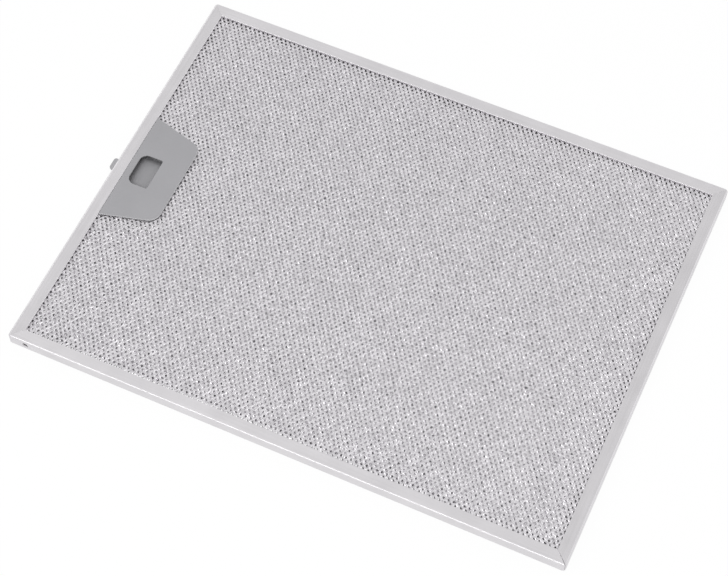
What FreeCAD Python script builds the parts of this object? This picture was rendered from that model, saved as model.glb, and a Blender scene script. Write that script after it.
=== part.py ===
import FreeCAD, Part
import os
import math
import Sketcher

# Grease filter of a cooker hood: a folded aluminium frame round a pack of expanded meshes, with a
# sprung finger latch in one short side. X runs along the frame, with the latch at -X, Y across it,
# and Z up from the rear face, which lies down. The origin is the middle of the rear face.

doc = FreeCAD.newDocument("grease_filter")
sheet = doc.addObject("Spreadsheet::Sheet", "Sizes")

SIZES = [
    ("frame_length", 345.0, "outside length of the frame"),
    ("frame_width", 268.0, "outside width of the frame"),
    ("frame_height", 8.0, "thickness of the whole filter"),
    ("frame_sheet", 0.8, "sheet that the frame is folded from"),
    ("frame_flange", 7.7, "width of the front and rear flanges, from the outside"),
    ("fold_bend", 0.4, "inside bend of the long folds"),
    ("corner_bend", 1.2, "inside radius of the corners"),
    ("flange_round", 0.25, "round on the inner edges of the flanges"),
    ("mitre_gap", 0.05, "opening of the mitres at the folded corners"),
    ("closing_gap", 0.5, "opening of the seam where the strip's ends meet, at the window"),
    ("closing_end", 0.1, "opening of that seam at the frame's corner"),
    ("drain_radius", 1.9, "drain hole in the near side"),
    ("drain_setback", 11.3, "drain hole's axis from the latch side"),
    ("drain_height", 4.4, "drain hole's axis above the rear face"),
    ("mesh_height", 1.2, "height of a face mesh, over its tilted strands"),
    ("mesh_fit", 0.3, "room between a face mesh and the bend of the frame"),
    ("mesh_short", 29.6, "pitch of a face mesh across its openings"),
    ("mesh_long", 41.5, "pitch of a face mesh along its openings"),
    ("mesh_strand", 5.0, "strand of a face mesh"),
    ("mesh_splay", 25.0, "tilt of the strands' sides, in degrees"),
    ("foil_layers", 3, "foil meshes between the two face meshes"),
    ("foil_inset", 3.0, "how far the foils stop short of the frame and the latch"),
    ("foil_short", 45.0, "pitch of a foil across its openings"),
    ("foil_long", 60.0, "pitch of a foil along its openings"),
    ("foil_strand", 16.0, "strand of a foil"),
    ("mesh_hem", 2.0, "plain edge that is left round a mesh and its cut-out"),
    ("plate_gap", 0.3, "joint between the flange and the latch plates"),
    ("plate_base", 77.0, "width of the latch plates at the frame"),
    ("plate_tip", 58.5, "width of the latch plates at their far edge, before the rounds"),
    ("plate_round", 8.0, "round of the plates' far corners"),
    ("plate_lap", 2.9, "how far the plates lap over the meshes past the housing"),
    ("plate_edge", 0.3, "bevel on the plates' outer edges"),
    ("housing_fit", 0.2, "room between the housing and the bend of the frame"),
    ("housing_wall", 1.5, "wall of the housing"),
    ("housing_lid", 1.6, "lid of the housing, round the finger window"),
    ("well_setback", 12.1, "finger window from the outside of the frame"),
    ("well_length", 13.6, "finger window along the pull"),
    ("well_width", 21.9, "finger window across the pull"),
    ("well_round", 4.6, "round of the window's corners beside the frame"),
    ("well_corner", 1.0, "round of the window's other corners"),
    ("well_floor_round", 1.6, "round between the well's floor and its walls"),
    ("well_lip", 0.2, "bevel on the window's upper edge"),
    ("well_relief", 1.2, "bevel under the window's edge"),
    ("well_undercut", 2.8, "how far the cup's walls stand back under the window's edge"),
    ("cup_wall", 1.3, "wall of the slider's cup"),
    ("cup_gap", 0.2, "room between the cup and the lid"),
    ("slide_fit", 0.25, "room beside the slider, on each side"),
    ("slide_gap", 0.1, "room between the slider and its rails, and at its stop"),
    ("slider_base", 1.6, "floor of the slider and thickness of its bolt"),
    ("rail_height", 0.5, "rails on the rear cover"),
    ("rail_width", 1.6, "width of a rail"),
    ("bolt_width", 8.2, "width of the bolt"),
    ("bolt_reach", 4.2, "how far the bolt stands out of the frame"),
    ("bolt_round", 1.6, "round of the bolt's corners"),
    ("bolt_fit", 0.3, "room round the bolt in the frame and the housing"),
    ("bolt_land", 0.6, "upright end of the bolt"),
    ("bolt_bevel", 2.2, "length of the bevel under the bolt's end"),
    ("spring_length", 10.6, "length of the spring's seat at rest"),
    ("spring_radius", 1.95, "mean radius of the spring"),
    ("spring_wire", 0.5, "side of the spring's square wire"),
    ("spring_turns", 3.5, "turns of the spring"),
    ("spring_seat", 0.1, "room at each end of the spring"),
    ("peg_radius", 1.4, "pegs inside the spring's ends"),
    ("peg_length", 2.5, "length of the pegs"),
    ("boss_radius", 2.6, "bosses beside the housing"),
    ("boss_sink", 0.6, "how far the bosses run into the housing's wall"),
    ("boss_inset", 9.5, "bosses' axes from the housing's ends"),
    ("pin_radius", 1.5, "pins of the rear cover"),
    ("pin_fit", 0.05, "room round a pin in its boss"),
    ("pin_length", 4.2, "length of the pins"),
    ("notch_fit", 0.5, "room between the housing and the meshes"),
]

for row, (alias, value, note) in enumerate(SIZES, start=1):
    sheet.set(f"A{row}", note)
    sheet.set(f"B{row}", str(value))
    sheet.setAlias(f"B{row}", alias)
doc.recompute()


# Places that several pieces share, worked out from the sizes
HALF_LENGTH = "(Sizes.frame_length / 2)"
HALF_WIDTH = "(Sizes.frame_width / 2)"
WINDOW_X = f"({HALF_LENGTH} - Sizes.frame_flange)"
WINDOW_Y = f"({HALF_WIDTH} - Sizes.frame_flange)"
MESH_X = f"({HALF_LENGTH} - Sizes.frame_sheet - Sizes.fold_bend - Sizes.mesh_fit)"
MESH_Y = f"({HALF_WIDTH} - Sizes.frame_sheet - Sizes.fold_bend - Sizes.mesh_fit)"
FRONT_INSIDE = "(Sizes.frame_height - Sizes.frame_sheet)"
FOIL_HEIGHT = f"(({FRONT_INSIDE} - Sizes.frame_sheet - 2 * Sizes.mesh_height) / Sizes.foil_layers)"

HOUSING_START = f"(Sizes.frame_sheet + Sizes.fold_bend + Sizes.housing_fit - {HALF_LENGTH})"
BAY_START = f"({HOUSING_START} + Sizes.housing_wall)"
SLIDER_START = f"({BAY_START} + Sizes.slide_gap)"
WELL_START = f"(Sizes.well_setback - {HALF_LENGTH})"
WELL_END = f"({WELL_START} + Sizes.well_length)"
CUP_START = f"({WELL_START} - Sizes.well_undercut)"
SLIDER_END = f"({WELL_END} + Sizes.cup_wall)"
BAY_END = f"({SLIDER_END} + Sizes.spring_length)"
HOUSING_END = f"({BAY_END} + Sizes.housing_wall)"
PLATE_START = f"(Sizes.frame_flange + Sizes.plate_gap - {HALF_LENGTH})"
PLATE_END = f"({HOUSING_END} + Sizes.plate_lap)"
NOTCH_END = f"({HOUSING_END} + Sizes.notch_fit)"

WELL_Y = "(Sizes.well_width / 2)"
CUP_Y = f"({WELL_Y} + Sizes.well_undercut)"
SLIDER_Y = f"({CUP_Y} + Sizes.cup_wall)"
BAY_Y = f"({SLIDER_Y} + Sizes.slide_fit)"
HOUSING_Y = f"({BAY_Y} + Sizes.housing_wall)"
BOSS_Y = f"({HOUSING_Y} + Sizes.boss_radius - Sizes.boss_sink)"
NOTCH_Y = f"({BOSS_Y} + Sizes.boss_radius + Sizes.notch_fit)"
BOSS_X = (f"({HOUSING_START} + Sizes.boss_inset)", f"({HOUSING_END} - Sizes.boss_inset)")

BAY_TOP = "(Sizes.frame_height - Sizes.housing_lid)"
SLIDER_LOW = "(Sizes.frame_sheet + Sizes.rail_height + Sizes.slide_gap)"
SLIDER_FLOOR = f"({SLIDER_LOW} + Sizes.slider_base)"
CUP_TOP = f"({BAY_TOP} - Sizes.cup_gap)"
SPRING_Z = f"((Sizes.frame_sheet + {BAY_TOP}) / 2)"
BOLT_Y = "(Sizes.bolt_width / 2)"
BOLT_TIP = f"(-{HALF_LENGTH} - Sizes.bolt_reach)"


def new_body(name):
    body = doc.addObject("PartDesign::Body", name)
    body.Label = name
    return body


def origin_feature(body, role):
    return next(f for f in body.Origin.OriginFeatures if f.Role == role)


def new_sketch(body, name, plane="XY_Plane", offset="0"):
    """A sketch on one of the body's own planes, moved along that plane's normal by offset."""
    sketch = body.newObject("Sketcher::SketchObject", name)
    sketch.AttachmentSupport = (origin_feature(body, plane), [""])
    sketch.MapMode = "FlatFace"
    sketch.setExpression("AttachmentOffset.Base.z", offset)
    return sketch


def outline(sketch, corners):
    """A closed outline of straight edges, each corner an (x, y) pair of expressions."""
    first = sketch.GeometryCount
    count = len(corners)
    start = [
        FreeCAD.Vector(math.cos(2 * math.pi * i / count), math.sin(2 * math.pi * i / count), 0)
        for i in range(count)
    ]
    for i in range(count):
        sketch.addGeometry(Part.LineSegment(start[i], start[(i + 1) % count]), False)
    for i in range(count):
        ends = (first + i, 2, first + (i + 1) % count, 1)
        sketch.addConstraint(Sketcher.Constraint("Coincident", *ends))
    for i, (x, y) in enumerate(corners):
        for kind, place, now in (("DistanceX", x, start[i].x), ("DistanceY", y, start[i].y)):
            rule = sketch.addConstraint(Sketcher.Constraint(kind, -1, 1, first + i, 1, now))
            sketch.setExpression(f"Constraints[{rule}]", place)


def rectangle(sketch, x0, x1, y0, y1):
    outline(sketch, [(x0, y0), (x1, y0), (x1, y1), (x0, y1)])


def circle(sketch, x, y, radius):
    ring = sketch.addGeometry(Part.Circle(FreeCAD.Vector(1, 1, 0), FreeCAD.Vector(0, 0, 1), 1), False)
    for kind, place in (("DistanceX", x), ("DistanceY", y)):
        rule = sketch.addConstraint(Sketcher.Constraint(kind, -1, 1, ring, 3, 1.0))
        sketch.setExpression(f"Constraints[{rule}]", place)
    rule = sketch.addConstraint(Sketcher.Constraint("Radius", ring, 1.0))
    sketch.setExpression(f"Constraints[{rule}]", radius)


def pad(body, name, sketch, length, reverse=False):
    feature = body.newObject("PartDesign::Pad", name)
    feature.Profile = sketch
    feature.setExpression("Length", length)
    feature.Reversed = reverse
    doc.recompute()
    return feature


def pocket(body, name, sketch, length=None, reverse=False, splay=None):
    """Cuts against the sketch's normal, or along it if reversed; without a length, right through."""
    feature = body.newObject("PartDesign::Pocket", name)
    feature.Profile = sketch
    if length is None:
        feature.Type = "ThroughAll"
    else:
        feature.setExpression("Length", length)
    if splay:
        feature.setExpression("TaperAngle", splay)
    feature.Reversed = reverse
    doc.recompute()
    return feature


def edge_names(base, wanted):
    return [f"Edge{i}" for i, edge in enumerate(base.Shape.Edges, start=1) if wanted(edge)]


def fillet(body, name, base, radius, wanted):
    """Rounds each edge of base for which wanted(edge) holds."""
    feature = body.newObject("PartDesign::Fillet", name)
    feature.Base = (base, edge_names(base, wanted))
    feature.setExpression("Radius", radius)
    doc.recompute()
    return feature


def bevel(body, name, base, width, wanted):
    """Bevels each edge of base for which wanted(edge) holds."""
    feature = body.newObject("PartDesign::Chamfer", name)
    feature.Base = (base, edge_names(base, wanted))
    feature.setExpression("Size", width)
    doc.recompute()
    return feature


def turned_copy(name, original, height, turn=0):
    """A body like the original, turned about the length by turn degrees, with its base at height."""
    body = new_body(name)
    copy = body.newObject("PartDesign::FeatureBase", f"{name}_copy")
    copy.BaseFeature = original
    body.Tip = copy
    body.Placement.Rotation = FreeCAD.Rotation(FreeCAD.Vector(1, 0, 0), turn)
    body.setExpression("Placement.Base.z", height)
    doc.recompute()
    return body


def size(alias):
    return float(sheet.get(alias))


def upright(edge):
    low, high = edge.BoundBox.ZMin, edge.BoundBox.ZMax
    return high - low > 1e-4 and edge.BoundBox.XLength < 1e-4 and edge.BoundBox.YLength < 1e-4


def level(edge, height):
    return abs(edge.BoundBox.ZMin - height) < 1e-4 and abs(edge.BoundBox.ZMax - height) < 1e-4


def middle(edge):
    return edge.BoundBox.Center


def mitre(sketch, side_x, side_y, reach, inner_gap, outer_gap):
    """A slit along a corner's mitre, from inside the window out to reach from the frame's sides."""
    inner = (f"({WINDOW_X} - Sizes.frame_sheet)", f"({WINDOW_Y} - Sizes.frame_sheet)", inner_gap)
    outer = (f"({HALF_LENGTH} - {reach})", f"({HALF_WIDTH} - {reach})", outer_gap)
    corners = []
    for (x, y, gap), turn in ((inner, 1), (outer, 1), (outer, -1), (inner, -1)):
        across = f"{gap} / 2 * sqrt(0.5)"
        corners.append((
            f"{side_x} * {x} - {turn * side_y} * {across}",
            f"{side_y} * {y} + {turn * side_x} * {across}",
        ))
    outline(sketch, corners)


def build_frame():
    """One strip folded to a U, bent round the four corners and closed at the near right one."""
    body = new_body("frame")
    height = size("frame_height")
    gauge = size("frame_sheet")
    inside_x = size("frame_length") / 2 - gauge
    inside_y = size("frame_width") / 2 - gauge

    sketch = new_sketch(body, "frame_outline")
    rectangle(sketch, f"-{HALF_LENGTH}", HALF_LENGTH, f"-{HALF_WIDTH}", HALF_WIDTH)
    block = pad(body, "frame_block", sketch, "Sizes.frame_height")
    corners = fillet(body, "frame_corners", block, "Sizes.corner_bend + Sizes.frame_sheet", upright)
    folds = fillet(
        body, "frame_folds", corners, "Sizes.fold_bend + Sizes.frame_sheet",
        lambda edge: level(edge, 0) or level(edge, height),
    )

    sketch = new_sketch(body, "channel_outline", offset="Sizes.frame_sheet")
    inner_x = f"({HALF_LENGTH} - Sizes.frame_sheet)"
    inner_y = f"({HALF_WIDTH} - Sizes.frame_sheet)"
    rectangle(sketch, f"-{inner_x}", inner_x, f"-{inner_y}", inner_y)
    pocket(body, "channel", sketch, f"{FRONT_INSIDE} - Sizes.frame_sheet", reverse=True)

    sketch = new_sketch(body, "window_outline")
    rectangle(sketch, f"-{WINDOW_X}", WINDOW_X, f"-{WINDOW_Y}", WINDOW_Y)
    window = pocket(body, "window", sketch, reverse=True)

    def channel_corner(edge):
        place = middle(edge)
        at_corner = abs(abs(place.x) - inside_x) < 1e-4 and abs(abs(place.y) - inside_y) < 1e-4
        return upright(edge) and at_corner

    bends = fillet(body, "channel_corners", window, "Sizes.corner_bend", channel_corner)

    def channel_fold(edge):
        place = middle(edge)
        beyond_window = (
            abs(place.x) > size("frame_length") / 2 - size("frame_flange") + 0.01
            or abs(place.y) > size("frame_width") / 2 - size("frame_flange") + 0.01
        )
        return beyond_window and (level(edge, gauge) or level(edge, height - gauge))

    inner_folds = bevel(body, "channel_folds", bends, "Sizes.fold_bend", channel_fold)

    def flange_edge(edge):
        place = middle(edge)
        in_window = (
            abs(place.x) < size("frame_length") / 2 - size("frame_flange") + 0.01
            and abs(place.y) < size("frame_width") / 2 - size("frame_flange") + 0.01
        )
        return in_window and (level(edge, 0) or level(edge, height))

    fillet(body, "flange_edges", inner_folds, "Sizes.flange_round", flange_edge)

    sketch = new_sketch(body, "mitre_slits")
    reach = "(Sizes.frame_sheet + Sizes.corner_bend)"
    for side_x, side_y in ((-1, -1), (-1, 1), (1, 1)):
        mitre(sketch, side_x, side_y, reach, "Sizes.mitre_gap", "Sizes.mitre_gap")
    mitre(sketch, 1, -1, "(-Sizes.frame_sheet)", "Sizes.closing_gap", "Sizes.closing_end")
    pocket(body, "mitres", sketch, reverse=True)

    sketch = new_sketch(body, "bolt_slot_outline", "YZ_Plane")
    slot_y = f"({BOLT_Y} + Sizes.bolt_fit)"
    rectangle(
        sketch, f"-{slot_y}", slot_y, f"{SLIDER_LOW} - Sizes.bolt_fit", f"{SLIDER_FLOOR} + Sizes.bolt_fit"
    )
    pocket(body, "bolt_slot", sketch)

    sketch = new_sketch(body, "drain_outline", "XZ_Plane")
    circle(sketch, f"Sizes.drain_setback - {HALF_LENGTH}", "Sizes.drain_height", "Sizes.drain_radius")
    pocket(body, "drain", sketch, reverse=True)
    return body


def diamonds(body, name, height, pitch, strand, room, splay=None):
    """Openings of an expanded mesh in two staggered grids, centred in the room of half sizes given."""
    half_x, half_y = f"({pitch[0]} / 2)", f"({pitch[1]} / 2)"
    slant = f"sqrt({half_x}^2 + {half_y}^2)"
    open_x = f"({half_x} - {strand} / 2 * {slant} / {half_y})"
    open_y = f"({half_y} - {strand} / 2 * {slant} / {half_x})"
    counts = [f"floor(2 * {room[axis]} / {pitch[axis]})" for axis in (0, 1)]
    for grid, fewer in (("rows", 0), ("between", 1)):
        x = f"(-({counts[0]} - 1 - {fewer}) / 2 * {pitch[0]})"
        y = f"(-({counts[1]} - 1 - {fewer}) / 2 * {pitch[1]})"
        sketch = new_sketch(body, f"{name}_{grid}_outline", offset="0")
        outline(sketch, [
            (f"{x} - {open_x}", y), (x, f"{y} - {open_y}"), (f"{x} + {open_x}", y), (x, f"{y} + {open_y}"),
        ])
        opening = pocket(body, f"{name}_{grid}_opening", sketch, height, reverse=True, splay=splay)
        grid_feature = body.newObject("PartDesign::MultiTransform", f"{name}_{grid}")
        grid_feature.Originals = [opening]
        steps = []
        for axis, role in ((0, "X_Axis"), (1, "Y_Axis")):
            step = body.newObject("PartDesign::LinearPattern", f"{name}_{grid}_{role[0]}")
            step.Direction = (origin_feature(body, role), [""])
            step.setExpression("Length", f"({counts[axis]} - 1 - {fewer}) * {pitch[axis]}")
            step.setExpression("Occurrences", f"{counts[axis]} - {fewer}")
            steps.append(step)
        grid_feature.Transformations = steps
        body.Tip = grid_feature
        doc.recompute()


def build_face_mesh(name, low):
    """An expanded mesh that lies in the frame's channel, cut out round the latch housing."""
    body = new_body(name)
    body.setExpression("Placement.Base.z", low)
    sketch = new_sketch(body, f"{name}_outline")
    rectangle(sketch, f"-{MESH_X}", MESH_X, f"-{MESH_Y}", MESH_Y)
    pad(body, f"{name}_sheet", sketch, "Sizes.mesh_height")
    room = (f"({WINDOW_X} - Sizes.mesh_hem / 2)", f"({WINDOW_Y} - Sizes.mesh_hem / 2)")
    pitch = ("Sizes.mesh_short", "Sizes.mesh_long")
    diamonds(body, name, "Sizes.mesh_height", pitch, "Sizes.mesh_strand", room, "Sizes.mesh_splay")

    sketch = new_sketch(body, f"{name}_hem_outline")
    hem_y = f"({NOTCH_Y} + Sizes.mesh_hem)"
    rectangle(sketch, f"-{MESH_X}", f"{NOTCH_END} + Sizes.mesh_hem", f"-{hem_y}", hem_y)
    pad(body, f"{name}_hem", sketch, "Sizes.mesh_height")
    sketch = new_sketch(body, f"{name}_notch_outline")
    rectangle(sketch, f"-{HALF_LENGTH}", NOTCH_END, f"-{NOTCH_Y}", NOTCH_Y)
    pocket(body, f"{name}_notch", sketch, reverse=True)
    return body


def plate_corners(grow="0"):
    """The latch plates' outline, a tapering tongue, or one that is larger by grow on each side."""
    start_y, end_y = f"(Sizes.plate_base / 2 + {grow})", f"(Sizes.plate_tip / 2 + {grow})"
    end_x = f"{PLATE_END} + {grow}"
    return [
        (PLATE_START, f"-{start_y}"), (end_x, f"-{end_y}"), (end_x, end_y), (PLATE_START, start_y),
    ]


def foil_level(layer):
    return f"Sizes.frame_sheet + Sizes.mesh_height + {layer} * {FOIL_HEIGHT}"


def build_foil(layer):
    """A foil mesh of the pack, turned a quarter from layer to layer, clear of the frame and latch."""
    body = new_body(f"foil_mesh_{layer + 1}")
    body.setExpression("Placement.Base.z", foil_level(layer))
    edge_x, edge_y = f"({WINDOW_X} - Sizes.foil_inset)", f"({WINDOW_Y} - Sizes.foil_inset)"
    sketch = new_sketch(body, f"foil_{layer + 1}_outline")
    rectangle(sketch, f"-{edge_x}", edge_x, f"-{edge_y}", edge_y)
    pad(body, f"foil_{layer + 1}_sheet", sketch, FOIL_HEIGHT)
    pitch = ("Sizes.foil_long", "Sizes.foil_short")
    if layer % 2:
        pitch = ("Sizes.foil_short", "Sizes.foil_long")
    room = (f"({edge_x} - Sizes.mesh_hem / 2)", f"({edge_y} - Sizes.mesh_hem / 2)")
    diamonds(body, f"foil_{layer + 1}", FOIL_HEIGHT, pitch, "Sizes.foil_strand", room)

    for part, grow, cut in (
        ("hem", "(Sizes.foil_inset + Sizes.mesh_hem)", False), ("notch", "Sizes.foil_inset", True)
    ):
        sketch = new_sketch(body, f"foil_{layer + 1}_{part}_outline")
        corners = plate_corners(grow)
        start = f"-{HALF_LENGTH}" if cut else f"-{edge_x}"
        corners = [(start, corners[0][1]), corners[1], corners[2], (start, corners[3][1])]
        outline(sketch, corners)
        if cut:
            pocket(body, f"foil_{layer + 1}_{part}", sketch, reverse=True)
        else:
            pad(body, f"foil_{layer + 1}_{part}", sketch, FOIL_HEIGHT)
    return body


def latch_plate(body, name, low, outside):
    """A latch plate, flush with a flange, with its far corners rounded and its outer edges bevelled."""
    sketch = new_sketch(body, f"{name}_outline", offset=low)
    outline(sketch, plate_corners())
    plate = pad(body, f"{name}_sheet", sketch, "Sizes.frame_sheet")
    far = max(edge.BoundBox.XMax for edge in plate.Shape.Edges)
    rounded = fillet(
        body, f"{name}_corners", plate, "Sizes.plate_round",
        lambda edge: upright(edge) and abs(middle(edge).x - far) < 1e-4,
    )
    near = min(edge.BoundBox.XMin for edge in rounded.Shape.Edges)
    return bevel(
        body, f"{name}_edges", rounded, "Sizes.plate_edge",
        lambda edge: level(edge, outside) and middle(edge).x > near + 1e-4,
    )


def build_housing():
    """The latch's front plate, with the box below it that guides the slider and holds the spring."""
    body = new_body("latch_housing")
    height = size("frame_height")
    latch_plate(body, "front_plate", FRONT_INSIDE, height)

    sketch = new_sketch(body, "box_outline", offset="Sizes.frame_sheet")
    rectangle(sketch, HOUSING_START, HOUSING_END, f"-{HOUSING_Y}", HOUSING_Y)
    pad(body, "box", sketch, f"{FRONT_INSIDE} - Sizes.frame_sheet")
    sketch = new_sketch(body, "boss_outlines", offset="Sizes.frame_sheet")
    for x in BOSS_X:
        for y in (f"-{BOSS_Y}", BOSS_Y):
            circle(sketch, x, y, "Sizes.boss_radius")
    pad(body, "bosses", sketch, f"{FRONT_INSIDE} - Sizes.frame_sheet")

    sketch = new_sketch(body, "bay_outline", offset="Sizes.frame_sheet")
    rectangle(sketch, BAY_START, BAY_END, f"-{BAY_Y}", BAY_Y)
    pocket(body, "bay", sketch, f"{BAY_TOP} - Sizes.frame_sheet", reverse=True)
    sketch = new_sketch(body, "pin_hole_outlines", offset="Sizes.frame_sheet")
    for x in BOSS_X:
        for y in (f"-{BOSS_Y}", BOSS_Y):
            circle(sketch, x, y, "Sizes.pin_radius + Sizes.pin_fit")
    pocket(body, "pin_holes", sketch, "Sizes.pin_length + Sizes.slide_gap", reverse=True)

    sketch = new_sketch(body, "finger_window_outline", offset="Sizes.frame_height")
    rectangle(sketch, WELL_START, WELL_END, f"-{WELL_Y}", WELL_Y)
    window = pocket(body, "finger_window", sketch, "Sizes.housing_lid")
    window = round_well(body, "finger_window", window)
    lip = bevel(
        body, "finger_window_lip", window, "Sizes.well_lip", lambda edge: on_well_edge(edge, height)
    )
    underside = height - size("housing_lid")
    bevel(
        body, "finger_window_relief", lip, "Sizes.well_relief",
        lambda edge: on_well_edge(edge, underside),
    )

    sketch = new_sketch(body, "bolt_port_outline", "YZ_Plane", offset=f"{BAY_START} + Sizes.slide_gap")
    port_y = f"({BOLT_Y} + Sizes.bolt_fit)"
    rectangle(
        sketch, f"-{port_y}", port_y, f"{SLIDER_LOW} - Sizes.bolt_fit", f"{SLIDER_FLOOR} + Sizes.bolt_fit"
    )
    pocket(body, "bolt_port", sketch)
    sketch = new_sketch(body, "spring_peg_outline", "YZ_Plane", offset=BAY_END)
    circle(sketch, "0", SPRING_Z, "Sizes.peg_radius")
    pad(body, "spring_peg", sketch, "Sizes.peg_length", reverse=True)
    return body


def well_sides(undercut):
    start = size("well_setback") - size("frame_length") / 2
    return start - undercut, start + size("well_length"), size("well_width") / 2 + undercut


def on_well_edge(edge, height, undercut=0):
    """Whether an edge at this height runs round the finger window, or the cup that stands back from it."""
    start, end, side = well_sides(undercut)
    box = edge.BoundBox
    inside = box.XMin > start - 1e-4 and box.XMax < end + 1e-4
    return level(edge, height) and inside and abs(box.Center.y) < side + 1e-4


def round_well(body, name, base, undercut=0):
    """Rounds the well's upright corners, widely beside the frame and a little on the far side."""
    start, end, side = well_sides(undercut)

    def at(edge, x):
        place = middle(edge)
        return upright(edge) and abs(place.x - x) < 1e-4 and abs(abs(place.y) - side) < 1e-4

    near = fillet(body, f"{name}_rounds", base, "Sizes.well_round", lambda edge: at(edge, start))
    return fillet(body, f"{name}_corners", near, "Sizes.well_corner", lambda edge: at(edge, end))


def build_rear_cover():
    """The plate that closes the housing from the rear, with the slider's rails and four pins."""
    body = new_body("latch_rear_cover")
    latch_plate(body, "rear_plate", "0", 0.0)
    sketch = new_sketch(body, "rail_outlines", offset="Sizes.frame_sheet")
    rail_in = f"({CUP_Y} - Sizes.rail_width)"
    for low, high in ((f"-{CUP_Y}", f"-{rail_in}"), (rail_in, CUP_Y)):
        rectangle(sketch, f"{BAY_START} + Sizes.slide_fit", f"{BAY_END} - Sizes.slide_fit", low, high)
    pad(body, "rails", sketch, "Sizes.rail_height")
    sketch = new_sketch(body, "pin_outlines", offset="Sizes.frame_sheet")
    for x in BOSS_X:
        for y in (f"-{BOSS_Y}", BOSS_Y):
            circle(sketch, x, y, "Sizes.pin_radius")
    pad(body, "pins", sketch, "Sizes.pin_length")
    return body


def build_slider():
    """The finger cup with the bolt that it draws in, on one floor."""
    body = new_body("latch_slider")
    sketch = new_sketch(body, "floor_outline", offset=SLIDER_LOW)
    rectangle(sketch, SLIDER_START, SLIDER_END, f"-{SLIDER_Y}", SLIDER_Y)
    pad(body, "slider_floor", sketch, "Sizes.slider_base")
    sketch = new_sketch(body, "cup_outline", offset=SLIDER_LOW)
    rectangle(sketch, f"{CUP_START} - Sizes.cup_wall", SLIDER_END, f"-{SLIDER_Y}", SLIDER_Y)
    pad(body, "cup", sketch, f"{CUP_TOP} - {SLIDER_LOW}")
    sketch = new_sketch(body, "well_outline", offset=CUP_TOP)
    rectangle(sketch, CUP_START, WELL_END, f"-{CUP_Y}", CUP_Y)
    well = pocket(body, "well", sketch, f"{CUP_TOP} - {SLIDER_FLOOR}")
    undercut = size("well_undercut")
    well = round_well(body, "well", well, undercut)
    floor = size("frame_sheet") + size("rail_height") + size("slide_gap") + size("slider_base")
    fillet(
        body, "well_floor", well, "Sizes.well_floor_round",
        lambda edge: on_well_edge(edge, floor, undercut),
    )

    sketch = new_sketch(body, "bolt_outline", offset=SLIDER_LOW)
    rectangle(sketch, BOLT_TIP, f"{SLIDER_START} + Sizes.cup_wall", f"-{BOLT_Y}", BOLT_Y)
    bolt = pad(body, "bolt", sketch, "Sizes.slider_base")
    tip = min(edge.BoundBox.XMin for edge in bolt.Shape.Edges)
    fillet(
        body, "bolt_corners", bolt, "Sizes.bolt_round",
        lambda edge: upright(edge) and abs(middle(edge).x - tip) < 1e-4,
    )
    sketch = new_sketch(body, "bolt_bevel_outline", "XZ_Plane", offset=BOLT_Y)
    outline(sketch, [
        (BOLT_TIP, SLIDER_LOW),
        (f"{BOLT_TIP} + Sizes.bolt_bevel", SLIDER_LOW),
        (BOLT_TIP, f"{SLIDER_FLOOR} - Sizes.bolt_land"),
    ])
    pocket(body, "bolt_bevel", sketch)
    sketch = new_sketch(body, "peg_outline", "YZ_Plane", offset=SLIDER_END)
    circle(sketch, "0", SPRING_Z, "Sizes.peg_radius")
    pad(body, "peg", sketch, "Sizes.peg_length")
    return body


def build_spring():
    """The coil spring between the slider and the housing's end wall, wound along X."""
    body = new_body("latch_spring")
    body.Placement.Rotation = FreeCAD.Rotation(FreeCAD.Vector(0, 1, 0), 90)
    body.setExpression("Placement.Base.x", f"{SLIDER_END} + Sizes.spring_seat")
    body.setExpression("Placement.Base.z", SPRING_Z)
    sketch = new_sketch(body, "wire", "XZ_Plane")
    inner = "Sizes.spring_radius - Sizes.spring_wire / 2"
    outer = "Sizes.spring_radius + Sizes.spring_wire / 2"
    rectangle(sketch, inner, outer, "0", "Sizes.spring_wire")
    doc.recompute()
    height = "(Sizes.spring_length - 2 * Sizes.spring_seat - Sizes.spring_wire)"
    coil = body.newObject("PartDesign::AdditiveHelix", "coil")
    coil.Profile = sketch
    coil.ReferenceAxis = (sketch, ["V_Axis"])
    coil.Mode = "height-turns-angle"
    coil.setExpression("Height", height)
    coil.setExpression("Turns", "Sizes.spring_turns")
    doc.recompute()
    return body


rear_mesh = build_face_mesh("rear_mesh", "Sizes.frame_sheet")
front_mesh = turned_copy("front_mesh", rear_mesh, FRONT_INSIDE, turn=180)
foils = [build_foil(0), build_foil(1)]
foils += [
    turned_copy(f"foil_mesh_{layer + 1}", foils[layer % 2], foil_level(layer))
    for layer in range(2, int(size("foil_layers")))
]
latch = [build_housing(), build_rear_cover(), build_slider(), build_spring()]
nodes = [build_frame(), rear_mesh, *foils, front_mesh, *latch]
doc.recompute()

for thing in doc.Objects:
    if "Invalid" in thing.State or "Error" in thing.State:
        raise RuntimeError(f"{thing.Name} failed: {thing.State}")
    if thing.TypeId == "PartDesign::Pocket" and thing.Shape.Volume > thing.BaseFeature.Shape.Volume - 1e-3:
        raise RuntimeError(f"{thing.Name} cuts nothing")
for node in nodes:
    if node.Shape.isNull() or not node.Shape.isValid() or len(node.Shape.Solids) != 1:
        raise RuntimeError(f"{node.Label} is not one sound solid")

os.makedirs("parts", exist_ok=True)
for node in nodes:
    node.Shape.exportStep(f"parts/{node.Label}.step")
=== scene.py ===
import math

import bmesh
import bpy
from mathutils import Matrix, Vector


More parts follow.
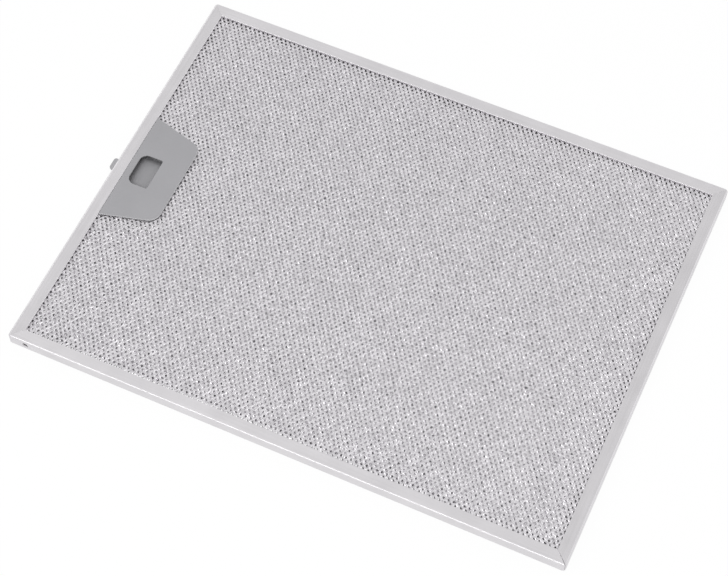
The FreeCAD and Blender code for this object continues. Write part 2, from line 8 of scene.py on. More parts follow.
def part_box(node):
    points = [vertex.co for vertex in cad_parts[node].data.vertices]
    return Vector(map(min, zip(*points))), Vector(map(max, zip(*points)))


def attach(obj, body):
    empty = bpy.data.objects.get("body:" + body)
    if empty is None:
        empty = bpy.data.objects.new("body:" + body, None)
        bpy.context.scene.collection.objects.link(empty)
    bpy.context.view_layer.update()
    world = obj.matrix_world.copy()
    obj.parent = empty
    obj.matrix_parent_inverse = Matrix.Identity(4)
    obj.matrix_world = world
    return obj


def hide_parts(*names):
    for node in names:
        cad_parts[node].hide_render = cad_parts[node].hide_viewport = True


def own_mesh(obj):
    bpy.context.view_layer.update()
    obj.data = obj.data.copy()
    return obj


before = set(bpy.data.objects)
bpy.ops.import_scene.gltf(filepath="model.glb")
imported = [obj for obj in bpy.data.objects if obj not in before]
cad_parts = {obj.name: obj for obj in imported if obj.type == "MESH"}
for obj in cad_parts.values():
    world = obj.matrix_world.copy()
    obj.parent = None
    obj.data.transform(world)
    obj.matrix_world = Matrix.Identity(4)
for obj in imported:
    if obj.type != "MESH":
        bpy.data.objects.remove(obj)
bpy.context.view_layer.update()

# Grease filter of a cooker hood, lying on its rear face. The folded frame and the moulded pieces of
# the latch keep their CAD solids. The face meshes and the foils, which are coarse sheets there,
# become fine expanded metal here, and the spring becomes a round wire.
# Metres, X along the filter with the latch at -X, Z up from the rear face.

MM = 0.001

# Expanded metal: pitch along X and along Y, half the width of a strand, half its gauge, how far its
# edges lean out of the sheet, how much it varies, and the seed of that. The middle foil is stretched
# across the other two.
FACE_PITCH = (3.105 * MM, 4.326 * MM)
FACE_HALF_STRAND = 0.71 * MM
FACE_HALF_GAUGE = 0.12 * MM
FACE_LEAN = -0.25 * MM
FACE_WAVER = 0.24 * MM
FACE_SEED = 3
FOIL_PITCH = (5.2 * MM, 8.18 * MM)
CROSS_FOIL_PITCH = (8.06 * MM, 5.2 * MM)
FOIL_HALF_STRAND = 1.5 * MM
FOIL_HALF_GAUGE = 0.10 * MM
FOIL_LEAN = 0.08 * MM
FOIL_WAVER = 0.18 * MM
FOIL_SEED = 11
CROSS_FOIL_SEED = 12

# How close to a row of crossings a point counts as on it, in halves of the pitch, and how close the
# two faces of a strand are merged
ROW_SHARE = 0.05
MERGE_REACH = 0.02 * MM

# How far the openings run on under the flange, and the pressed hem: how far under the flange it
# starts, its gauge, the width of its thinned outer edge, and the share of the gauge left there
OPENINGS_LAP = 1.5 * MM
HEM_LAP = 0.3 * MM
HEM_GAUGE = 1.1 * MM
HEM_TAPER = 0.95 * MM
HEM_EDGE_SHARE = 0.05

# Room that a sheet leaves above and below it in its layer
LAYER_ROOM = 0.02 * MM

# The flange's width and its height above the middle, the drain hole's place along X and above the
# rear face and how far its cut wall reaches, and the cut-outs round the latch: where each ends, its
# half width there, and its half width at the flange
FLANGE = 7.7 * MM
FLANGE_FROM = 3.15 * MM
DRAIN_PLACE = (-161.2 * MM, 4.4 * MM)
DRAIN_REACH = 2.0 * MM
FACE_NOTCH = (-132.9 * MM, 21.9 * MM, 21.9 * MM)
FOIL_NOTCH = (-127.5 * MM, 32.25 * MM, 41.5 * MM)

# Latch spring: half its wire, the mean radius and the turns of its coil, and the facets round the
# wire and along one turn
WIRE_RADIUS = 0.25 * MM
COIL_RADIUS = 1.95 * MM
COIL_TURNS = 3.5
WIRE_FACETS = 10
TURN_FACETS = 24

# Rim of the latch's front plate, which gets a painted highlight: above this height, and this far
# aside or along from the window
RIM_LOW = 7.1 * MM
RIM_ASIDE = 12.0 * MM
RIM_BEYOND = -146.0 * MM

# Bolt's tip outside the frame, and how far it is made paler, towards the painted highlight tone of the
# plate's rim
TIP_FROM = -172.6 * MM
TIP_PALING = 0.45

# Finger well: the middle and half sizes of its window, the height of the window's upper edge, and
# how far the painted shade reaches inward from under that edge, and outward to the wall of the cup
WELL_MIDDLE = -153.6 * MM
WELL_HALF_LENGTH = 6.8 * MM
WELL_HALF_WIDTH = 10.95 * MM
WELL_TOP = 7.95 * MM
WELL_SHADE_REACH = 1.6 * MM
CUP_BEYOND = 4.0 * MM

# A face runs with an axis where less than the first share of its direction points along that axis,
# and it is a bevel or a wall where less than the second share points up
UPRIGHT = 0.5
SLANTED = 0.9

# Span of a noise over which a finish goes from its least to its most, and the detail of the lines
# that the rolls leave
NOISE_LOW = 0.3
NOISE_HIGH = 0.7
LINE_DETAIL = 3.0

# Finishes: dark and light tone, and least and most roughness
FRAME_TONES = ((0.655, 0.64, 0.657), (0.775, 0.758, 0.778))
FRAME_ROUGH = (0.34, 0.46)
MESH_TONES = ((0.58, 0.566, 0.587), (0.82, 0.801, 0.828))
MESH_ROUGH = (0.28, 0.46)
FOIL_TONES = ((0.88, 0.858, 0.89), (0.98, 0.957, 0.985))
FOIL_ROUGH = (0.6, 0.85)
PLASTIC_TONES = ((0.345, 0.342, 0.357), (0.385, 0.382, 0.398))
PLASTIC_ROUGH = (0.4, 0.52)
WIRE_TONES = ((0.38, 0.38, 0.385), (0.55, 0.55, 0.555))
WIRE_ROUGH = (0.25, 0.4)

# Patches of one tone in a metre of strand
MESH_PATCHES = 1100.0
FOIL_PATCHES = 380.0

# Bright matt metal where the frame is cut, painted highlight on the plate's rim, painted shade in the
# well
CUT_EDGE_TONE = (0.97, 0.955, 0.97)
CUT_EDGE_ROUGH = 0.8
RIM_HIGHLIGHT_TONE = (0.49, 0.486, 0.50)
WELL_SHADE_TONE = (0.17, 0.168, 0.175)

# Painted shade: how much darker the frame's short sides are made, where the rolls' lines run across
# the filter
SHORT_SIDE_SHADE = 0.19

# Camera of the photograph: its place, and the directions of its right, up and back
LENS = 97.1
SENSOR_WIDTH = 36.0
CAMERA_PLACE = (0.24335, -0.55514, 0.99242)
CAMERA_RIGHT = (0.91029881, 0.41395017, 0.00115202)
CAMERA_UP = (-0.3560207, 0.78148283, 0.51238056)
CAMERA_BACK = (0.21119973, -0.46682956, 0.85875773)

# Studio: what diffuse surfaces get from all round, the background as metal sees it at the horizon
# and overhead, the share of the floor that glows white, the floor's side and how far below the
# filter it lies, its roughness, and the soft boxes with their place, their two sides and their watts
AMBIENT_LEVEL = 0.77
HORIZON_LEVEL = 1.0
ZENITH_LEVEL = 0.785
FLOOR_GLOW = 0.94
FLOOR_SIDE = 8.0
FLOOR_DROP = 0.2 * MM
FLOOR_ROUGH = 0.9
SOFT_BOXES = (
    ("left", (-2.4, 1.5, 1.5), (1.2, 1.2), 4.0),
    ("right", (2.4, 1.7, 2.0), (1.2, 1.2), 4.4),
    ("front", (-0.2, -0.8, 1.3), (2.0, 0.35), 6.2),
    ("top", (-0.35, 0.25, 2.0), (0.8, 0.8), 0.45),
)


def start_fresh():
    """Leaves edit mode and selects nothing."""
    if bpy.context.mode != "OBJECT":
        bpy.ops.object.mode_set(mode="OBJECT")
    bpy.ops.object.select_all(action="DESELECT")


def enter_edit(piece, element="VERT"):
    start_fresh()
    piece.select_set(True)
    bpy.context.view_layer.objects.active = piece
    bpy.ops.object.mode_set(mode="EDIT")
    bpy.ops.mesh.select_mode(type=element)


def select_faces(piece, wanted):
    """Selects the faces whose centre meets the test."""
    bpy.ops.mesh.select_all(action="DESELECT")
    form = bmesh.from_edit_mesh(piece.data)
    for face in form.faces:
        face.select_set(wanted(face.calc_center_median()))
    bmesh.update_edit_mesh(piece.data)


def select_vertices(piece, wanted):
    """Selects the vertices whose place meets the test."""
    bpy.ops.mesh.select_all(action="DESELECT")
    form = bmesh.from_edit_mesh(piece.data)
    for vertex in form.verts:
        vertex.select_set(wanted(vertex.co))
    form.select_flush_mode()
    bmesh.update_edit_mesh(piece.data)


def select_edges(piece, wanted):
    """Selects the edges that meet the test."""
    bpy.ops.mesh.select_all(action="DESELECT")
    form = bmesh.from_edit_mesh(piece.data)
    for edge in form.edges:
        edge.select_set(wanted(edge))
    bmesh.update_edit_mesh(piece.data)


def apply_modifier(piece, kind, **settings):
    start_fresh()
    piece.select_set(True)
    bpy.context.view_layer.objects.active = piece
    modifier = piece.modifiers.new(kind.title(), kind)
    for name, value in settings.items():
        setattr(modifier, name, value)
    bpy.ops.object.modifier_apply(modifier=modifier.name)


def expanded_sheet(name, pitch, reach, notch, half_strand, half_gauge, lean, waver, layer, seed):
    """A sheet slit and stretched into diamonds, and rolled down on Z 0 to the height of its layer.

    The cut-out for the latch is left open.
    """
    cells = 2 * math.ceil(reach[0] / pitch[0] + reach[1] / pitch[1]) + 2
    start_fresh()
    bpy.ops.mesh.primitive_grid_add(x_subdivisions=cells, y_subdivisions=cells, size=cells)
    sheet = bpy.context.object
    sheet.name = name
    enter_edit(sheet, "FACE")
    bpy.ops.mesh.select_all(action="SELECT")
    bpy.ops.transform.rotate(value=math.radians(45), orient_axis="Z", center_override=(0, 0, 0))
    across_corners = math.sqrt(2)
    stretch = (pitch[0] / across_corners, pitch[1] / across_corners, 1)
    bpy.ops.transform.resize(value=stretch, center_override=(0, 0, 0))

    notch_end, notch_tip, notch_base = notch

    def is_offcut(centre):
        along = (notch_end - centre.x) / (notch_end + reach[0])
        notch_side = notch_tip + (notch_base - notch_tip) * along
        in_notch = centre.x < notch_end and abs(centre.y) < notch_side
        return abs(centre.x) > reach[0] or abs(centre.y) > reach[1] or in_notch

    select_faces(sheet, is_offcut)
    bpy.ops.mesh.delete(type="FACE")

    def beside_row(place, axis):
        """How far a place lies from the nearest row of crossings, in halves of the pitch."""
        rows = 2 * place[axis] / pitch[axis]
        return rows - round(rows)

    def is_crossing(place):
        return all(abs(beside_row(place, axis)) < ROW_SHARE for axis in (0, 1))

    def is_outermost(edge):
        return edge.is_boundary and all(is_crossing(end.co) for end in edge.verts)

    # each diamond gets its opening, and the outermost strands, which are halves, are cut away
    bpy.ops.mesh.select_all(action="SELECT")
    bpy.ops.mesh.inset(thickness=half_strand, use_individual=True)
    bpy.ops.mesh.delete(type="ONLY_FACE")
    bpy.ops.mesh.select_mode(type="EDGE")
    select_edges(sheet, is_outermost)
    bpy.ops.mesh.delete(type="EDGE")
    bpy.ops.mesh.select_all(action="SELECT")
    bpy.ops.mesh.delete_loose()

    # the middles of the strands rise to a ridge, on both faces, and the cut ends are closed
    bpy.ops.mesh.select_mode(type="VERT")
    select_vertices(sheet, is_crossing)
    bpy.ops.transform.translate(value=(0, 0, half_gauge))
    apply_modifier(sheet, "MIRROR", use_axis=(False, False, True), merge_threshold=MERGE_REACH)
    enter_edit(sheet)
    bpy.ops.mesh.select_all(action="SELECT")
    bpy.ops.mesh.fill_holes(sides=4)

    # stretching turns the strands, so one side of each opening stands up and the other goes down
    select_vertices(sheet, lambda place: beside_row(place, 0) > ROW_SHARE)
    bpy.ops.transform.translate(value=(0, 0, lean))
    select_vertices(sheet, lambda place: beside_row(place, 0) < -ROW_SHARE)
    bpy.ops.transform.translate(value=(0, 0, -lean))
    bpy.ops.mesh.select_all(action="SELECT")
    bpy.ops.transform.vertex_random(offset=waver, uniform=0.0, normal=0.0, seed=seed)
    tallest = max(abs(vertex.co.z) for vertex in bmesh.from_edit_mesh(sheet.data).verts)
    flatter = min(1.0, (layer / 2 - LAYER_ROOM) / tallest)
    bpy.ops.transform.resize(value=(1, 1, flatter), center_override=(0, 0, 0))
    bpy.ops.mesh.normals_make_consistent(inside=False)
    start_fresh()
    return sheet


def pressed_hem(low, high, inner):
    """The flat edge of a face mesh, which the frame holds, open where the latch housing passes."""
    start_fresh()
    bpy.ops.mesh.primitive_plane_add(size=1)
    hem = bpy.context.object
    enter_edit(hem, "FACE")
    bpy.ops.mesh.select_all(action="SELECT")
    bpy.ops.transform.resize(value=(high.x - low.x, high.y - low.y, 1), center_override=(0, 0, 0))
    bpy.ops.mesh.inset(thickness=HEM_TAPER)
    bpy.ops.mesh.inset(thickness=high.x - inner[0] - HEM_TAPER)
    bpy.ops.mesh.delete(type="FACE")
    notch_end, notch_side = FACE_NOTCH[:2]
    for side in (-1, 1):
        bpy.ops.mesh.select_all(action="SELECT")
        bpy.ops.mesh.bisect(plane_co=(0, side * notch_side, 0), plane_no=(0, 1, 0))
    select_faces(hem, lambda centre: centre.x < notch_end and abs(centre.y) < notch_side)
    bpy.ops.mesh.delete(type="FACE")
    apply_modifier(hem, "SOLIDIFY", thickness=HEM_GAUGE, offset=0.0)

    # the outer edge is pressed thin
    enter_edit(hem)
    inward = HEM_TAPER / 2
    select_vertices(hem, lambda place: max(abs(place.x) - high.x, abs(place.y) - high.y) > -inward)
    bpy.ops.transform.resize(value=(1, 1, HEM_EDGE_SHARE), center_override=(0, 0, 0))
    start_fresh()
    return hem


def join_pieces(main, *others):
    start_fresh()
    for piece in (main, *others):
        piece.select_set(True)
    bpy.context.view_layer.objects.active = main
    bpy.ops.object.join()


def shift_piece(piece, height):
    enter_edit(piece)
    bpy.ops.mesh.select_all(action="SELECT")
    bpy.ops.transform.translate(value=(0, 0, height))
    start_fresh()


def turned_copy(piece, name, axis_height):
    """A copy turned over about the length of the filter, at the given height."""
    start_fresh()
    piece.select_set(True)
    bpy.context.view_layer.objects.active = piece
    bpy.ops.object.duplicate(linked=False)
    copy = bpy.context.object
    copy.name = name
    enter_edit(copy)
    bpy.ops.mesh.select_all(action="SELECT")
    bpy.ops.transform.rotate(value=math.pi, orient_axis="X", center_override=(0, 0, axis_height))
    start_fresh()
    return copy


def middle_height(node):
    low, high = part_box(node)
    return (low.z + high.z) / 2


def build_face_meshes():
    low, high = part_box("front_mesh")
    frame_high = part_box("frame")[1]
    window = (frame_high.x - FLANGE, frame_high.y - FLANGE)
    reach = (window[0] + OPENINGS_LAP, window[1] + OPENINGS_LAP)
    front = expanded_sheet("front_mesh_fine", FACE_PITCH, reach, FACE_NOTCH, FACE_HALF_STRAND,
                           FACE_HALF_GAUGE, FACE_LEAN, FACE_WAVER, high.z - low.z, FACE_SEED)
    hem = pressed_hem(low, high, (window[0] + HEM_LAP, window[1] + HEM_LAP))
    join_pieces(front, hem)
    shift_piece(front, middle_height("front_mesh"))
    axis_height = (middle_height("front_mesh") + middle_height("rear_mesh")) / 2
    rear = turned_copy(front, "rear_mesh_fine", axis_height)
    return front, rear


def build_foils():
    low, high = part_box("foil_mesh_1")

    def foil(name, pitch, seed):
        reach = (high.x - FOIL_WAVER, high.y - FOIL_WAVER)
        return expanded_sheet(name, pitch, reach, FOIL_NOTCH, FOIL_HALF_STRAND, FOIL_HALF_GAUGE,
                              FOIL_LEAN, FOIL_WAVER, high.z - low.z, seed)

    foil_1 = foil("foil_1_fine", FOIL_PITCH, FOIL_SEED)
    foil_2 = foil("foil_2_fine", CROSS_FOIL_PITCH, CROSS_FOIL_SEED)

    # the outer foils lie against the face meshes
    half_height = max(abs(vertex.co.z) for vertex in foil_1.data.vertices)
    shift_piece(foil_1, low.z + LAYER_ROOM + half_height)
    shift_piece(foil_2, middle_height("foil_mesh_2"))
    foil_3 = turned_copy(foil_1, "foil_3_fine", middle_height("foil_mesh_2"))
    return foil_1, foil_2, foil_3


def build_spring():
    """Round wire wound along X, between the slider and the end wall of the latch housing."""
    low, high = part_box("latch_spring")
    start_fresh()
    bpy.ops.mesh.primitive_circle_add(vertices=WIRE_FACETS, radius=WIRE_RADIUS)
    spring = bpy.context.object
    spring.name = "latch_spring_wound"
    enter_edit(spring)
    bpy.ops.mesh.select_all(action="SELECT")
    bpy.ops.transform.translate(value=(low.x + WIRE_RADIUS, COIL_RADIUS, 0))
    steps = round(COIL_TURNS * TURN_FACETS)
    apply_modifier(spring, "SCREW", axis="X", angle=COIL_TURNS * math.tau, steps=steps,
                   render_steps=steps, screw_offset=high.x - low.x - 2 * WIRE_RADIUS)
    enter_edit(spring)
    bpy.ops.mesh.select_all(action="SELECT")
    bpy.ops.mesh.fill_holes(sides=0)
    bpy.ops.mesh.select_all(action="SELECT")
    bpy.ops.mesh.normals_make_consistent(inside=False)
    shift_piece(spring, middle_height("latch_spring"))
    return spring


def new_group(name, inputs, *outputs):
    """A shader node group with a place input, the named values and the named output values."""
    group = bpy.data.node_groups.new(name, "ShaderNodeTree")
    group.interface.new_socket("Place", in_out="INPUT", socket_type="NodeSocketVector")
    for label, default in inputs:
        socket = group.interface.new_socket(label, in_out="INPUT", socket_type="NodeSocketFloat")
        socket.default_value = default
    for label in outputs:
        group.interface.new_socket(label, in_out="OUTPUT", socket_type="NodeSocketFloat")
    return group, group.nodes.new("NodeGroupInput"), group.nodes.new("NodeGroupOutput")


def math_node(tree, operation, first, second=None):
    node = tree.nodes.new("ShaderNodeMath")
    node.operation = operation
    for socket, value in zip(node.inputs, (first, second)):
        if value is None:
            continue
        if isinstance(value, (int, float)):
            socket.default_value = value
        else:
            tree.links.new(value, socket)
    return node.outputs[0]


def magnitude(tree, value):
    return math_node(tree, "ABSOLUTE", value)


def all_of(tree, first, *others):
    """1 where every mask is 1."""
    for mask in others:
        first = math_node(tree, "MULTIPLY", first, mask)
    return first


def weighted(tree, first, second, share):
    """The first value by the given share, and the second by the rest."""
    return math_node(tree, "ADD", math_node(tree, "MULTIPLY", first, share),
                     math_node(tree, "MULTIPLY", second, 1 - share))


def split_axes(tree, vector):
    node = tree.nodes.new("ShaderNodeSeparateXYZ")
    tree.links.new(vector, node.inputs[0])
    return node.outputs["X"], node.outputs["Y"], node.outputs["Z"]


def facing(tree):
    """The X, Y and Z of the direction that the surface faces."""
    return split_axes(tree, tree.nodes.new("ShaderNodeNewGeometry").outputs["Normal"])


def build_mottle_group():
    """Cloudy shade between 0 and 1."""
    group, source, sink = new_group("Mottle", [("Scale", 100.0), ("Detail", 2.0)], "Shade")
    noise = group.nodes.new("ShaderNodeTexNoise")
    group.links.new(source.outputs["Place"], noise.inputs["Vector"])
    group.links.new(source.outputs["Scale"], noise.inputs["Scale"])
    group.links.new(source.outputs["Detail"], noise.inputs["Detail"])
    group.links.new(noise.outputs["Fac"], sink.inputs["Shade"])
    return group


def build_rolled_group():
    """Fine lines left by the rolls, which run along each of the frame's four sides.

    Cross is 1 on the short sides, where the lines run across the filter.
    """
    sizes = [("Scale", 900.0), ("Stretch", 0.012)]
    group, source, sink = new_group("Rolled grain", sizes, "Line", "Cross")
    x, y, z = split_axes(group, source.outputs["Place"])
    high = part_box("frame")[1]
    from_end = math_node(group, "SUBTRACT", high.x, magnitude(group, x))
    from_side = math_node(group, "SUBTRACT", high.y, magnitude(group, y))
    on_short_side = math_node(group, "LESS_THAN", from_end, from_side)
    shrunk_x = math_node(group, "MULTIPLY", x, source.outputs["Stretch"])
    shrunk_y = math_node(group, "MULTIPLY", y, source.outputs["Stretch"])
    lines = []
    for line_x, line_y in ((shrunk_x, y), (x, shrunk_y)):
        place = group.nodes.new("ShaderNodeCombineXYZ")
        group.links.new(line_x, place.inputs["X"])
        group.links.new(line_y, place.inputs["Y"])
        group.links.new(z, place.inputs["Z"])
        noise = group.nodes.new("ShaderNodeTexNoise")
        noise.inputs["Detail"].default_value = LINE_DETAIL
        group.links.new(place.outputs[0], noise.inputs["Vector"])
        group.links.new(source.outputs["Scale"], noise.inputs["Scale"])
        lines.append(noise.outputs["Fac"])
    choice = group.nodes.new("ShaderNodeMix")
    group.links.new(on_short_side, choice.inputs["Factor"])
    group.links.new(lines[0], choice.inputs["A"])
    group.links.new(lines[1], choice.inputs["B"])
    group.links.new(choice.outputs["Result"], sink.inputs["Line"])
    group.links.new(on_short_side, sink.inputs["Cross"])
    return group


def new_material(name):
    material = bpy.data.materials.new(name)
    material.use_nodes = True
    tree = material.node_tree
    shader = tree.nodes["Principled BSDF"]
    place = tree.nodes.new("ShaderNodeTexCoord").outputs["Object"]
    return material, tree, shader, place


def place_group(tree, group, place, **values):
    node = tree.nodes.new("ShaderNodeGroup")
    node.node_tree = group
    tree.links.new(place, node.inputs["Place"])
    for label, value in values.items():
        node.inputs[label].default_value = value
    return node.outputs


def tone_between(tree, mask, dark, light, low=NOISE_LOW, high=NOISE_HIGH):
    ramp = tree.nodes.new("ShaderNodeValToRGB")
    ramp.color_ramp.elements[0].position = low
    ramp.color_ramp.elements[0].color = (*dark, 1)
    ramp.color_ramp.elements[1].position = high
    ramp.color_ramp.elements[1].color = (*light, 1)
    tree.links.new(mask, ramp.inputs["Fac"])
    return ramp.outputs["Color"]


def value_between(tree, mask, low, high):
    node = tree.nodes.new("ShaderNodeMapRange")
    node.inputs["From Min"].default_value = NOISE_LOW
    node.inputs["From Max"].default_value = NOISE_HIGH
    node.inputs["To Min"].default_value = low
    node.inputs["To Max"].default_value = high
    tree.links.new(mask, node.inputs["Value"])
    return node.outputs["Result"]


def roughen(tree, shader, height, strength, depth):
    bump = tree.nodes.new("ShaderNodeBump")
    bump.inputs["Strength"].default_value = strength
    bump.inputs["Distance"].default_value = depth
    tree.links.new(height, bump.inputs["Height"])
    tree.links.new(bump.outputs["Normal"], shader.inputs["Normal"])


def tint(tree, mask, base, tone):
    """The base colour, and the given tone where the mask is 1."""
    node = tree.nodes.new("ShaderNodeMix")
    node.data_type = "RGBA"
    tree.links.new(mask, node.inputs["Factor"])
    tree.links.new(base, node.inputs["A"])
    node.inputs["B"].default_value = (*tone, 1)
    return node.outputs["Result"]


def sheared_edge(tree, place):
    """1 on the cut edges of the frame: round the insides of its two flanges, and in the drain hole."""
    low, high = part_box("frame")
    x, y, z = split_axes(tree, place)
    _, facing_y, facing_z = facing(tree)

    upright = math_node(tree, "LESS_THAN", magnitude(tree, facing_z), UPRIGHT)
    from_middle = math_node(tree, "SUBTRACT", z, (low.z + high.z) / 2)
    at_flange = math_node(tree, "GREATER_THAN", magnitude(tree, from_middle), FLANGE_FROM)
    inner_end = math_node(tree, "LESS_THAN", magnitude(tree, x), high.x - FLANGE / 2)
    inner_side = math_node(tree, "LESS_THAN", magnitude(tree, y), high.y - FLANGE / 2)
    flange_edge = all_of(tree, upright, at_flange, inner_end, inner_side)

    along = math_node(tree, "SUBTRACT", x, DRAIN_PLACE[0])
    above = math_node(tree, "SUBTRACT", z, DRAIN_PLACE[1])
    square = math_node(tree, "ADD", math_node(tree, "MULTIPLY", along, along),
                       math_node(tree, "MULTIPLY", above, above))
    at_drain = math_node(tree, "LESS_THAN", square, DRAIN_REACH ** 2)
    through = math_node(tree, "LESS_THAN", magnitude(tree, facing_y), UPRIGHT)
    near_side = math_node(tree, "LESS_THAN", y, low.y + DRAIN_REACH)
    drain_edge = all_of(tree, at_drain, through, near_side)
    return math_node(tree, "MAXIMUM", flange_edge, drain_edge)


def satin_frame_material(mottle, rolled):
    material, tree, shader, place = new_material("Satin frame aluminium")
    cloud = place_group(tree, mottle, place, Scale=60.0, Detail=4.0)["Shade"]
    grain = place_group(tree, rolled, place, Scale=1400.0, Stretch=0.01)
    line = grain["Line"]
    # painted shade: the short sides of the frame are made darker
    side_shade = math_node(tree, "MULTIPLY", grain["Cross"], SHORT_SIDE_SHADE)
    shade = math_node(tree, "SUBTRACT", weighted(tree, cloud, line, share=0.6), side_shade)
    edge = sheared_edge(tree, place)
    plain = tone_between(tree, shade, *FRAME_TONES, low=0.1, high=0.7)
    tree.links.new(tint(tree, edge, plain, CUT_EDGE_TONE), shader.inputs["Base Color"])
    rough = math_node(tree, "MAXIMUM", value_between(tree, line, *FRAME_ROUGH),
                      math_node(tree, "MULTIPLY", edge, CUT_EDGE_ROUGH))
    tree.links.new(rough, shader.inputs["Roughness"])
    shader.inputs["Metallic"].default_value = 1.0
    roughen(tree, shader, line, strength=0.15, depth=0.02 * MM)
    return material


def strand_material(name, mottle, tones, patches, rough):
    """Bright sheared aluminium, whose tone changes from strand to strand."""
    material, tree, shader, place = new_material(name)
    patch = tree.nodes.new("ShaderNodeTexVoronoi")
    patch.inputs["Scale"].default_value = patches
    tree.links.new(place, patch.inputs["Vector"])
    patch_tone, patch_rough, _ = split_axes(tree, patch.outputs["Color"])
    cloud = place_group(tree, mottle, place, Scale=45.0, Detail=3.0)["Shade"]
    shade = weighted(tree, patch_tone, cloud, share=0.8)
    tree.links.new(tone_between(tree, shade, *tones, low=0.1, high=0.9), shader.inputs["Base Color"])
    tree.links.new(value_between(tree, patch_rough, *rough), shader.inputs["Roughness"])
    shader.inputs["Metallic"].default_value = 1.0
    scratch = place_group(tree, mottle, place, Scale=2600.0, Detail=2.0)["Shade"]
    roughen(tree, shader, scratch, strength=0.25, depth=0.02 * MM)
    return material


def painted_rim_highlight_and_pale_tip(tree, place):
    """1 on the bevelled rim of the front plate, where a highlight is painted, less on the bolt's tip,
    which is made paler, and 0 in the finger window.
    """
    x, y, z = split_axes(tree, place)
    slanted = math_node(tree, "LESS_THAN", facing(tree)[2], SLANTED)
    at_plate = math_node(tree, "GREATER_THAN", z, RIM_LOW)
    aside = math_node(tree, "GREATER_THAN", magnitude(tree, y), RIM_ASIDE)
    beyond = math_node(tree, "GREATER_THAN", x, RIM_BEYOND)
    rim = all_of(tree, math_node(tree, "MAXIMUM", aside, beyond), slanted, at_plate)
    tip = math_node(tree, "LESS_THAN", x, TIP_FROM)
    return math_node(tree, "MAXIMUM", rim, math_node(tree, "MULTIPLY", tip, TIP_PALING))


def painted_well_shade(tree, place):
    """0 in the middle of the finger well, and up to 1 under its edge, where shade is painted."""
    x, y, z = split_axes(tree, place)
    along = magnitude(tree, math_node(tree, "SUBTRACT", x, WELL_MIDDLE))
    beyond_end = math_node(tree, "SUBTRACT", along, WELL_HALF_LENGTH)
    beyond_side = math_node(tree, "SUBTRACT", magnitude(tree, y), WELL_HALF_WIDTH)
    outward = math_node(tree, "MAXIMUM", beyond_end, beyond_side)
    reach = tree.nodes.new("ShaderNodeMapRange")
    reach.inputs["From Min"].default_value = -WELL_SHADE_REACH
    reach.inputs["From Max"].default_value = WELL_SHADE_REACH
    tree.links.new(outward, reach.inputs["Value"])
    below_edge = math_node(tree, "LESS_THAN", z, WELL_TOP)
    in_cup = math_node(tree, "LESS_THAN", outward, CUP_BEYOND)
    return all_of(tree, reach.outputs["Result"], below_edge, in_cup)


def moulded_material(mottle):
    material, tree, shader, place = new_material("Grey moulded plastic")
    cloud = place_group(tree, mottle, place, Scale=35.0, Detail=3.0)["Shade"]
    grain = place_group(tree, mottle, place, Scale=2200.0, Detail=2.0)["Shade"]
    plain = tone_between(tree, weighted(tree, cloud, grain, share=0.7), *PLASTIC_TONES)
    # painted highlight on the bevelled rim of the front plate, and the bolt's tip made paler
    rim_highlighted = tint(tree, painted_rim_highlight_and_pale_tip(tree, place), plain, RIM_HIGHLIGHT_TONE)
    # painted shade under the finger well's edge, darkest just beneath the window's rim
    well_shaded = tint(tree, painted_well_shade(tree, place), rim_highlighted, WELL_SHADE_TONE)
    tree.links.new(well_shaded, shader.inputs["Base Color"])
    tree.links.new(value_between(tree, grain, *PLASTIC_ROUGH), shader.inputs["Roughness"])
    roughen(tree, shader, grain, strength=0.2, depth=0.03 * MM)
    return material


def drawn_wire_material(mottle):
    material, tree, shader, place = new_material("Drawn spring steel")
    cloud = place_group(tree, mottle, place, Scale=900.0, Detail=3.0)["Shade"]
    tree.links.new(tone_between(tree, cloud, *WIRE_TONES), shader.inputs["Base Color"])
    tree.links.new(value_between(tree, cloud, *WIRE_ROUGH), shader.inputs["Roughness"])
    shader.inputs["Metallic"].default_value = 1.0
    return material


def finish_surface(piece, material):
    piece.data.materials.clear()
    piece.data.materials.append(material)


def studio_floor():
    """White floor: white to the camera and in reflections, and with the object's own soft shadow."""
    start_fresh()
    bpy.ops.mesh.primitive_plane_add(size=FLOOR_SIDE, location=(0, 0, -FLOOR_DROP))
    floor = bpy.context.object
    floor.name = "floor"
    material = bpy.data.materials.new("White floor")
    material.use_nodes = True
    tree = material.node_tree
    shader = tree.nodes["Principled BSDF"]
    shader.inputs["Base Color"].default_value = (1, 1, 1, 1)
    shader.inputs["Roughness"].default_value = FLOOR_ROUGH
    shader.inputs["Specular IOR Level"].default_value = 0.0
    glow = tree.nodes.new("ShaderNodeEmission")
    blend = tree.nodes.new("ShaderNodeMixShader")
    share = math_node(tree, "MULTIPLY", background_rays(tree), FLOOR_GLOW)
    tree.links.new(share, blend.inputs["Fac"])
    tree.links.new(shader.outputs["BSDF"], blend.inputs[1])
    tree.links.new(glow.outputs["Emission"], blend.inputs[2])
    tree.links.new(blend.outputs["Shader"], tree.nodes["Material Output"].inputs["Surface"])
    finish_surface(floor, material)


def background_rays(tree):
    """1 for the rays that show the background: from the camera, and in gloss and glass."""
    path = tree.nodes.new("ShaderNodeLightPath")
    seen = math_node(tree, "MAXIMUM", path.outputs["Is Camera Ray"], path.outputs["Is Glossy Ray"])
    return math_node(tree, "MAXIMUM", seen, path.outputs["Is Transmission Ray"])


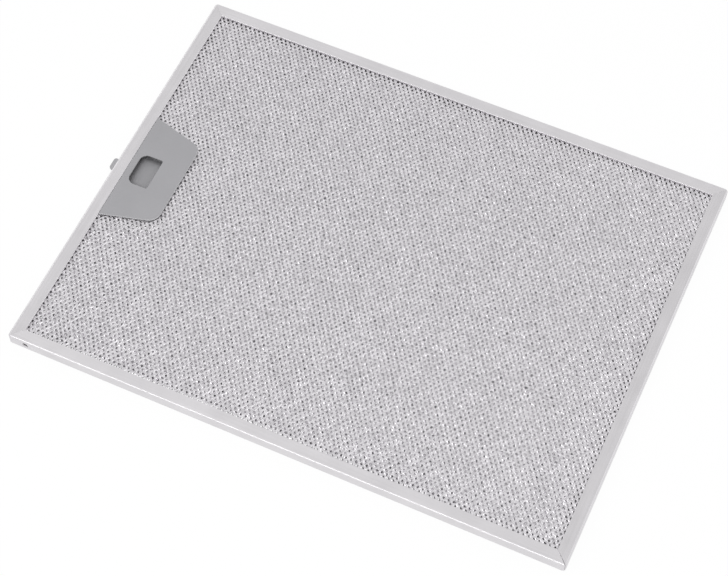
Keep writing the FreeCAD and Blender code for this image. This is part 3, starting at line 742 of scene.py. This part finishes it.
def studio_world():
    world = bpy.data.worlds.new("Studio")
    world.use_nodes = True
    tree = world.node_tree
    light = tree.nodes["Background"]
    light.inputs["Color"].default_value = (1, 1, 1, 1)
    upward = split_axes(tree, tree.nodes.new("ShaderNodeTexCoord").outputs["Generated"])[2]
    sky = tree.nodes.new("ShaderNodeMapRange")
    sky.inputs["To Min"].default_value = HORIZON_LEVEL
    sky.inputs["To Max"].default_value = ZENITH_LEVEL
    tree.links.new(upward, sky.inputs["Value"])
    choice = tree.nodes.new("ShaderNodeMix")
    choice.inputs["A"].default_value = AMBIENT_LEVEL
    tree.links.new(background_rays(tree), choice.inputs["Factor"])
    tree.links.new(sky.outputs["Result"], choice.inputs["B"])
    tree.links.new(choice.outputs["Result"], light.inputs["Strength"])
    bpy.context.scene.world = world


def soft_box(name, place, sides, watts):
    """A soft box that is turned to the middle of the filter."""
    lamp = bpy.data.lights.new(name, "AREA")
    lamp.shape = "RECTANGLE"
    lamp.size, lamp.size_y = sides
    lamp.energy = watts
    holder = bpy.data.objects.new(name, lamp)
    bpy.context.scene.collection.objects.link(holder)
    turn = (-Vector(place)).to_track_quat("-Z", "Y")
    holder.matrix_world = Matrix.Translation(place) @ turn.to_matrix().to_4x4()


def photo_camera():
    camera = bpy.data.objects.new("camera", bpy.data.cameras.new("camera"))
    camera.data.lens = LENS
    camera.data.sensor_width = SENSOR_WIDTH
    camera.data.sensor_fit = "HORIZONTAL"
    bpy.context.scene.collection.objects.link(camera)
    turn = Matrix((CAMERA_RIGHT, CAMERA_UP, CAMERA_BACK)).transposed()
    camera.matrix_world = Matrix.Translation(CAMERA_PLACE) @ turn.to_4x4()
    bpy.context.scene.camera = camera


def seat(piece, node):
    """The fine piece stands for its coarse node, which is hidden, and is attached to the filter's
    body.
    """
    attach(piece, "filter")
    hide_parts(node)


front_mesh, rear_mesh = build_face_meshes()
foils = build_foils()
spring = build_spring()

mottle_group = build_mottle_group()
rolled_group = build_rolled_group()
mesh_finish = strand_material("Bright mesh aluminium", mottle_group, MESH_TONES, MESH_PATCHES,
                              MESH_ROUGH)
foil_finish = strand_material("Bright foil aluminium", mottle_group, FOIL_TONES, FOIL_PATCHES,
                              FOIL_ROUGH)
frame_finish = satin_frame_material(mottle_group, rolled_group)
latch_finish = moulded_material(mottle_group)
spring_finish = drawn_wire_material(mottle_group)

for piece, node in ((front_mesh, "front_mesh"), (rear_mesh, "rear_mesh")):
    finish_surface(piece, mesh_finish)
    seat(piece, node)
for number, piece in enumerate(foils, start=1):
    finish_surface(piece, foil_finish)
    seat(piece, f"foil_mesh_{number}")
finish_surface(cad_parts["frame"], frame_finish)
for node in ("latch_housing", "latch_rear_cover", "latch_slider"):
    finish_surface(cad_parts[node], latch_finish)
finish_surface(spring, spring_finish)
seat(spring, "latch_spring")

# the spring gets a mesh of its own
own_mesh(spring)

studio_floor()
studio_world()
for lamp_values in SOFT_BOXES:
    soft_box(*lamp_values)
photo_camera()
bpy.context.scene.view_settings.view_transform = "Standard"
